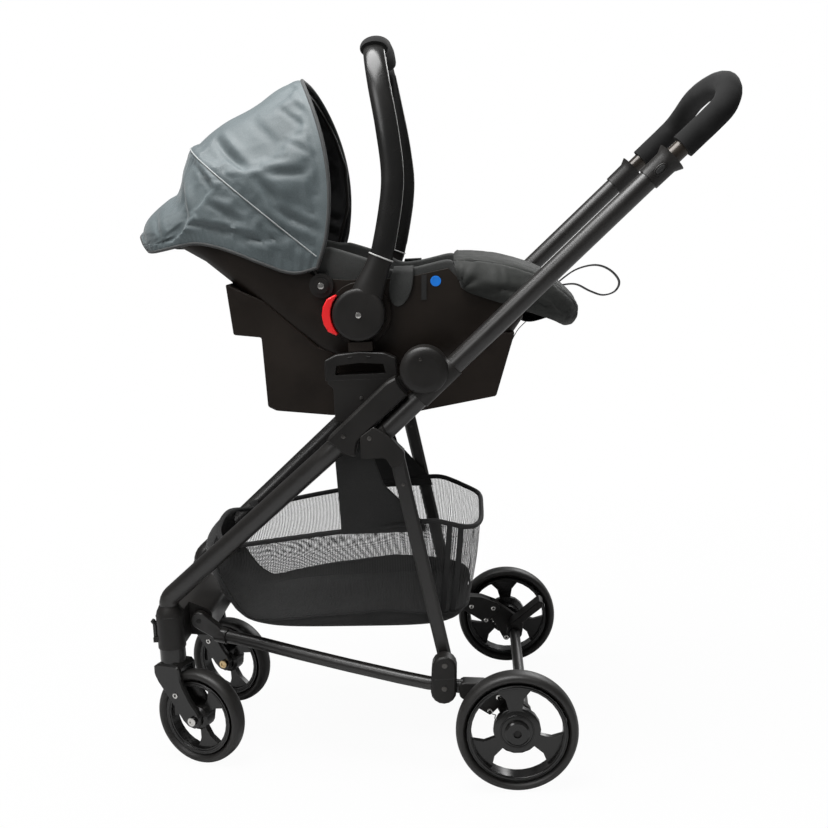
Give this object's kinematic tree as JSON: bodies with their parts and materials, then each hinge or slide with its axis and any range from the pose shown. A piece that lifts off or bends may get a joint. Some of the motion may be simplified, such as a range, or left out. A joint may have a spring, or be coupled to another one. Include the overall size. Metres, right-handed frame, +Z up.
{
  "type": "stroller with infant seat",
  "caption": "Folding stroller frame with swivelling front wheels, sprung rear wheels and telescopic handle, carrying a rear-facing infant seat with canopy and carry handle.",
  "frame": {"origin": "on the floor, under the middle of the stroller's box", "axes": "+Z up, +X the stroller's left, -Y its front (casters), +Y its rear (push handle)"},
  "size_m": [0.575, 0.9788, 1.1713],
  "materials": {
    "black_tube": "satin black powder coat",
    "inner_tube": "semi-gloss black anodised",
    "moulding": "fine grained black nylon",
    "gloss_moulding": "gloss black",
    "seat_moulding": "fine grained warm black",
    "tyre": "semi-gloss black foam-filled tyre",
    "rubber_button": "matt black",
    "foam": "matt dark grey foam",
    "cloth": "charcoal grey melange polyester",
    "basket_cloth": "black cloth and grey net",
    "webbing": "black webbing",
    "spring_steel": "zinc plated wire",
    "red_button": "semi-gloss red"
  },
  "bodies": {
    "frame": {"front_leg_l": "black_tube", "front_leg_r": "black_tube", "leg_casing_l": "moulding", "leg_casing_r": "moulding", "seat_adapter_l": "moulding", "seat_adapter_r": "moulding", "caster_housing_l": "moulding", "caster_housing_r": "moulding", "front_cross_member": "moulding", "basket": "basket_cloth"},
    "push_handle": {"fold_hub_l": "moulding", "fold_hub_r": "moulding", "push_tube_l": "black_tube", "push_tube_r": "black_tube", "lever_bracket_l": "moulding", "lever_bracket_r": "moulding", "telescope_collar_l": "moulding", "telescope_collar_r": "moulding"},
    "rear_legs": {"rear_leg_l": "black_tube", "rear_leg_r": "black_tube"},
    "lower_frame": {"side_rail_l": "black_tube", "side_rail_r": "black_tube", "rail_bracket_l": "moulding", "rail_bracket_r": "moulding", "suspension_bracket_l": "moulding", "suspension_bracket_r": "moulding", "suspension_spring_l": "spring_steel", "suspension_spring_r": "spring_steel"},
    "rear_swing": {"swing_arm_l": "moulding", "swing_arm_r": "moulding"},
    "brake": {"brake_bar": "black_tube", "brake_pedal": "moulding"},
    "handle_bow": {"handle_loop": "inner_tube", "handle_grip": "foam"},
    "car_seat": {"seat_shell": "seat_moulding", "seat_base": "seat_moulding", "seat_liner": "cloth", "harness": "webbing", "foot_cover": "cloth"},
    "canopy": {"canopy_bow": "moulding", "canopy_fabric": "cloth"},
    "carry_bow": {"carry_handle": "gloss_moulding", "carry_grip": "foam"},
    "caster_l": {"front_fork_l": "gloss_moulding"},
    "front_wheel_l": {"front_rim_l": "gloss_moulding", "front_tyre_l": "tyre"},
    "rear_wheel_l": {"rear_rim_l": "gloss_moulding", "rear_tyre_l": "tyre"},
    "swivel_catch_l": {"swivel_lock_l": "moulding"},
    "slide_button_l": {"telescope_button_l": "rubber_button"},
    "seat_button_l": {"release_button_l": "red_button"},
    "caster_r": {"front_fork_r": "gloss_moulding"},
    "front_wheel_r": {"front_rim_r": "gloss_moulding", "front_tyre_r": "tyre"},
    "rear_wheel_r": {"rear_rim_r": "gloss_moulding", "rear_tyre_r": "tyre"},
    "swivel_catch_r": {"swivel_lock_r": "moulding"},
    "slide_button_r": {"telescope_button_r": "rubber_button"},
    "seat_button_r": {"release_button_r": "red_button"}
  },
  "joints": [
    {"name": "fold", "type": "hinge", "parent": "frame", "child": "push_handle", "pos_m": [0, -0.00962, 0.656], "axis": [1, 0, 0], "range_deg": [0, 160], "deforming": ["basket"]},
    {"name": "rail_swing", "type": "hinge", "parent": "frame", "child": "lower_frame", "pos_m": [0, -0.41762, 0.228], "axis": [1, 0, 0], "range_deg": [0, 38]},
    {"name": "leg_swing", "type": "hinge", "parent": "push_handle", "child": "rear_legs", "pos_m": [0, -0.06162, 0.524], "axis": [1, 0, 0], "range_deg": [-195.7, 0]},
    {"name": "handle_height", "type": "slide", "parent": "push_handle", "child": "handle_bow", "axis": [0, 0.7501, 0.6613], "range_m": [-0.018, 0.06]},
    {"name": "suspension", "type": "hinge", "parent": "lower_frame", "child": "rear_swing", "pos_m": [0, 0.08338, 0.131], "axis": [1, 0, 0], "range_deg": [0, 5], "stiffness_Nm_per_rad": 30, "springref_deg": -5.73, "deforming": ["suspension_spring_l", "suspension_spring_r"]},
    {"name": "brake_press", "type": "hinge", "parent": "rear_swing", "child": "brake", "pos_m": [0, 0.12138, 0.1], "axis": [1, 0, 0], "range_deg": [-20, 0]},
    {"name": "seat_lift", "type": "slide", "parent": "frame", "child": "car_seat", "axis": [0, 0, 1], "range_m": [0, 0.03]},
    {"name": "carry_turn", "type": "hinge", "parent": "car_seat", "child": "carry_bow", "pos_m": [0, -0.10762, 0.741], "axis": [1, 0, 0], "range_deg": [-95, 35]},
    {"name": "canopy_turn", "type": "hinge", "parent": "car_seat", "child": "canopy", "pos_m": [0, -0.16562, 0.787], "axis": [1, 0, 0], "range_deg": [0, 60], "deforming": ["canopy_fabric"]},
    {"name": "swivel_l", "type": "hinge", "parent": "frame", "child": "caster_l", "pos_m": [0.127, -0.45762, 0.196], "axis": [0, 0, 1], "continuous": true},
    {"name": "front_roll_l", "type": "hinge", "parent": "caster_l", "child": "front_wheel_l", "pos_m": [0.14525, -0.41322, 0.08], "axis": [0.9249, -0.3802, 0], "continuous": true},
    {"name": "rear_roll_l", "type": "hinge", "parent": "rear_swing", "child": "rear_wheel_l", "pos_m": [0.27, 0.10938, 0.095], "axis": [1, 0, 0], "continuous": true},
    {"name": "swivel_catch_turn_l", "type": "hinge", "parent": "frame", "child": "swivel_catch_l", "pos_m": [0.127, -0.48382, 0.2105], "axis": [1, 0, 0], "range_deg": [0, 20]},
    {"name": "slide_button_press_l", "type": "slide", "parent": "push_handle", "child": "slide_button_l", "axis": [-1, 0, 0], "range_m": [0, 0.001], "stiffness_N_per_m": 400, "springref_m": -0.002},
    {"name": "seat_button_press_l", "type": "slide", "parent": "car_seat", "child": "seat_button_l", "axis": [0, 1, 0], "range_m": [0, 0.0015], "stiffness_N_per_m": 400, "springref_m": -0.002},
    {"name": "swivel_r", "type": "hinge", "parent": "frame", "child": "caster_r", "pos_m": [-0.127, -0.45762, 0.196], "axis": [0, 0, 1], "continuous": true},
    {"name": "front_roll_r", "type": "hinge", "parent": "caster_r", "child": "front_wheel_r", "pos_m": [-0.10875, -0.41322, 0.08], "axis": [0.9249, -0.3802, 0], "continuous": true},
    {"name": "rear_roll_r", "type": "hinge", "parent": "rear_swing", "child": "rear_wheel_r", "pos_m": [-0.27, 0.10938, 0.095], "axis": [1, 0, 0], "continuous": true},
    {"name": "swivel_catch_turn_r", "type": "hinge", "parent": "frame", "child": "swivel_catch_r", "pos_m": [-0.127, -0.48382, 0.2105], "axis": [1, 0, 0], "range_deg": [0, 20]},
    {"name": "slide_button_press_r", "type": "slide", "parent": "push_handle", "child": "slide_button_r", "axis": [1, 0, 0], "range_m": [0, 0.001], "stiffness_N_per_m": 400, "springref_m": -0.002},
    {"name": "seat_button_press_r", "type": "slide", "parent": "car_seat", "child": "seat_button_r", "axis": [0, 1, 0], "range_m": [0, 0.0015], "stiffness_N_per_m": 400, "springref_m": -0.002}
  ],
  "couplings": [
    {"joint": "rail_swing", "follows": "fold", "ratio": 0.2373},
    {"joint": "leg_swing", "follows": "fold", "ratio": -1.2228}
  ]
}
